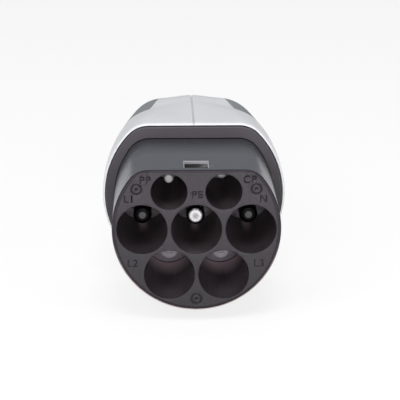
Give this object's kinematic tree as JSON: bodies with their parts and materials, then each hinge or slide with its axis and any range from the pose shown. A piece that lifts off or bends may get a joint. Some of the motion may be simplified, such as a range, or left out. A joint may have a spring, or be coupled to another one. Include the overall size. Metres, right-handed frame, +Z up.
{
  "type": "ev charging plug",
  "caption": "Hand-held plug for the charge-point end of an electric car's charging cable: contact cavities with recessed pins, clamshell grip and cable gland.",
  "frame": {"origin": "centre of the earth contact in the plane of the mating face", "axes": "-Y out of the mating face along the contacts, +Y towards the cable, +Z up to the flat side of the outline, +X to the right seen from the front"},
  "size_m": [0.0628, 0.2021, 0.0566],
  "materials": {
    "carrier_plastic": "fine moulded grain",
    "collar_plastic": "fine moulded grain",
    "shell_plastic": "satin moulded",
    "inlay_rubber": "soft matte",
    "contact_silver": "silver plated, bright",
    "cap_plastic": "glossy black",
    "blank_plastic": "satin moulded",
    "retainer_plastic": "moulded",
    "seal_rubber": "matte",
    "screw_steel": "zinc plated",
    "resistor_coat": "lacquered",
    "clamp_plastic": "moulded",
    "gland_plastic": "moulded"
  },
  "bodies": {
    "root": {"contact_carrier": "carrier_plastic", "front_collar": "collar_plastic", "collar_gasket": "seal_rubber", "contact_retainer": "retainer_plastic", "pe_pin": "contact_silver", "l1_pin": "contact_silver", "n_pin": "contact_silver", "pp_pin": "contact_silver", "cp_pin": "contact_silver", "l1_tip_cap": "cap_plastic", "n_tip_cap": "cap_plastic", "l2_blanking_plug": "blank_plastic", "l3_blanking_plug": "blank_plastic", "pin_o_rings": "seal_rubber", "retainer_screws": "screw_steel", "coding_resistor": "resistor_coat", "handle_shell_left": "shell_plastic", "handle_shell_right": "shell_plastic", "grip_inlay_left": "inlay_rubber", "grip_inlay_right": "inlay_rubber", "shell_screws": "screw_steel", "cable_clamp_base": "clamp_plastic", "cable_clamp_strap": "clamp_plastic", "clamp_screws": "screw_steel", "gland_body": "gland_plastic", "gland_seal": "seal_rubber", "gland_claw": "gland_plastic", "gland_nut": "gland_plastic"}
  },
  "joints": []
}
